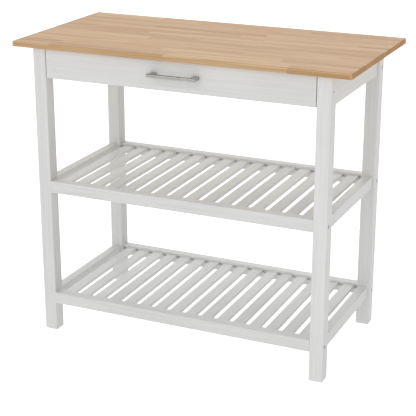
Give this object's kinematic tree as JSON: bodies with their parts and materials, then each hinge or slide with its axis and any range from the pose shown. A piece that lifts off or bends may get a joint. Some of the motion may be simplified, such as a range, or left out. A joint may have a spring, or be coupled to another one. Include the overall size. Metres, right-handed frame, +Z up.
{
  "type": "kitchen island",
  "caption": "Kitchen island: hardwood worktop on a white painted frame with two open slatted shelves and a full-width drawer on ball-bearing slides.",
  "frame": {"origin": "floor level, under the middle of the whole island, handle included", "axes": "+Z up, +X along the worktop towards its right end seen from the front, the drawer front faces -Y"},
  "size_m": [1.018, 0.518, 0.895],
  "materials": {
    "worktop_wood": "oiled edge-glued hardwood",
    "white_paint": "satin white paint over wood",
    "brushed_nickel": "brushed nickel",
    "zinc_steel": "zinc-plated steel",
    "bearing_steel": "polished hardened steel",
    "birch_wood": "sealed bare birch",
    "birch_plywood": "sealed birch plywood",
    "beech_wood": "bare beech"
  },
  "bodies": {
    "frame": {"apron_pins": "beech_wood", "back_apron": "white_paint", "barrel_nuts": "zinc_steel", "connector_bolts": "zinc_steel", "frame_dowels": "beech_wood", "front_stretcher": "white_paint", "left_apron": "white_paint", "leg_back_left": "white_paint", "leg_back_right": "white_paint", "leg_front_left": "white_paint", "leg_front_right": "white_paint", "lower_back_rail": "white_paint", "lower_front_rail": "white_paint", "lower_left_rail": "white_paint", "lower_right_rail": "white_paint", "lower_slats_left": "white_paint", "lower_slats_right": "white_paint", "right_apron": "white_paint", "runner_batten_left": "birch_wood", "runner_batten_right": "birch_wood", "slide_outer_left": "zinc_steel", "slide_outer_right": "zinc_steel", "slide_outer_screws": "zinc_steel", "top_cleat_back": "birch_wood", "top_cleat_left": "birch_wood", "top_cleat_right": "birch_wood", "top_panel": "worktop_wood", "top_screws": "zinc_steel", "upper_back_rail": "white_paint", "upper_front_rail": "white_paint", "upper_left_rail": "white_paint", "upper_right_rail": "white_paint", "upper_slats_left": "white_paint", "upper_slats_right": "white_paint"},
    "drawer": {"drawer_bottom": "birch_plywood", "drawer_box_back": "birch_wood", "drawer_box_front": "birch_wood", "drawer_front": "white_paint", "drawer_screws": "zinc_steel", "drawer_side_left": "birch_wood", "drawer_side_right": "birch_wood", "handle": "brushed_nickel", "slide_inner_left": "zinc_steel", "slide_inner_right": "zinc_steel", "slide_inner_screws": "zinc_steel"},
    "slide_cages": {"slide_balls_left": "bearing_steel", "slide_balls_right": "bearing_steel", "slide_cage_left": "zinc_steel", "slide_cage_right": "zinc_steel"}
  },
  "joints": [
    {"name": "drawer_slide", "type": "slide", "parent": "frame", "child": "drawer", "axis": [0, -1, 0], "range_m": [0, 0.28]},
    {"name": "cage_slide", "type": "slide", "parent": "frame", "child": "slide_cages", "axis": [0, -1, 0], "range_m": [0, 0.14]}
  ],
  "couplings": [
    {"joint": "cage_slide", "follows": "drawer_slide", "ratio": 0.5}
  ]
}
